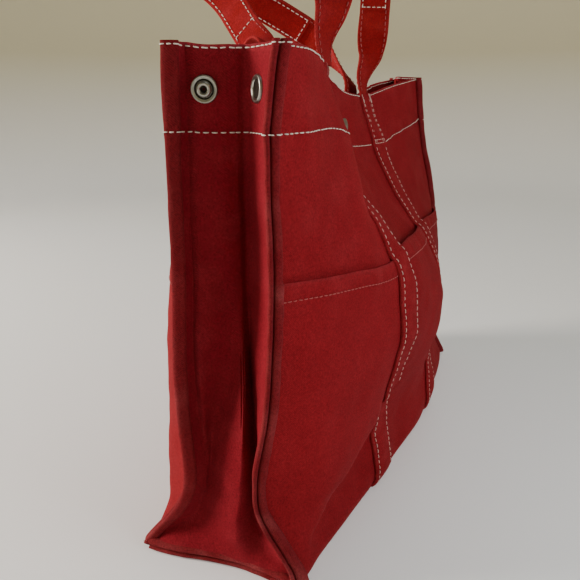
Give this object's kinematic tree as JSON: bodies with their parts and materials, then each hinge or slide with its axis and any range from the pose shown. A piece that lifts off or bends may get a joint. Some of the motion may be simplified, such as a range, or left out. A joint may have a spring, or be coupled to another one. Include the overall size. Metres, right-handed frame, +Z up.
{
  "type": "garden tool bag",
  "caption": "Open-topped canvas tool tote with divided outside pockets, pleated end gussets, ring snaps and two looped carrying handles.",
  "frame": {"origin": "centre of the underside of the base, on the ground", "axes": "+Z up towards the handles, +X along the bag from the left gusset to the right gusset, -Y out of the front wall"},
  "size_m": [0.3896, 0.2304, 0.4575],
  "materials": {
    "canvas": "heavy cotton twill, faded on the folds",
    "webbing": "folded canvas strap, stitched with white thread",
    "seam_edge": "turned canvas edge, worn",
    "snap_metal": "antiqued nickel"
  },
  "bodies": {
    "base": {"base_panel": "canvas", "base_left_strap": "webbing", "base_right_strap": "webbing", "base_left_seam_edge": "seam_edge", "base_right_seam_edge": "seam_edge"},
    "front_wall": {"front_panel": "canvas", "front_pocket": "canvas", "front_left_strap": "webbing", "front_right_strap": "webbing", "front_hem_facing": "canvas", "front_left_seam_edge": "seam_edge", "front_right_seam_edge": "seam_edge", "front_snap_cap": "snap_metal", "front_snap_socket": "snap_metal", "left_gusset_front_half": "canvas", "left_gusset_front_edge": "seam_edge", "left_gusset_front_facing": "canvas", "left_gusset_socket": "snap_metal", "left_gusset_socket_washer": "snap_metal", "right_gusset_front_half": "canvas", "right_gusset_front_edge": "seam_edge", "right_gusset_front_facing": "canvas", "right_gusset_socket": "snap_metal", "right_gusset_socket_washer": "snap_metal"},
    "back_wall": {"back_panel": "canvas", "back_pocket": "canvas", "back_left_strap": "webbing", "back_right_strap": "webbing", "back_hem_facing": "canvas", "back_left_seam_edge": "seam_edge", "back_right_seam_edge": "seam_edge", "back_snap_cap": "snap_metal", "back_snap_stud": "snap_metal", "left_gusset_back_half": "canvas", "left_gusset_back_edge": "seam_edge", "left_gusset_back_facing": "canvas", "left_gusset_stud": "snap_metal", "left_gusset_stud_washer": "snap_metal", "right_gusset_back_half": "canvas", "right_gusset_back_edge": "seam_edge", "right_gusset_back_facing": "canvas", "right_gusset_stud": "snap_metal", "right_gusset_stud_washer": "snap_metal"},
    "front_handle": {"front_handle_strap": "webbing", "front_handle_grip": "webbing"},
    "back_handle": {"back_handle_strap": "webbing", "back_handle_grip": "webbing"}
  },
  "joints": [
    {"name": "front_wall_open", "type": "hinge", "parent": "base", "child": "front_wall", "pos_m": [0, -0.064, 0], "axis": [1, 0, 0], "range_deg": [0, 4.2]},
    {"name": "back_wall_open", "type": "hinge", "parent": "base", "child": "back_wall", "pos_m": [0, 0.064, 0], "axis": [-1, 0, 0], "range_deg": [0, 4.2]},
    {"name": "front_handle_swing", "type": "hinge", "parent": "front_wall", "child": "front_handle", "pos_m": [0, -0.00925, 0.2921], "axis": [0.9872, 0.0683, -0.1443], "range_deg": [0, 98]},
    {"name": "back_handle_swing", "type": "hinge", "parent": "back_wall", "child": "back_handle", "pos_m": [0, 0.01825, 0.2921], "axis": [-0.9881, 0.0532, 0.1444], "range_deg": [-41, 75]}
  ]
}
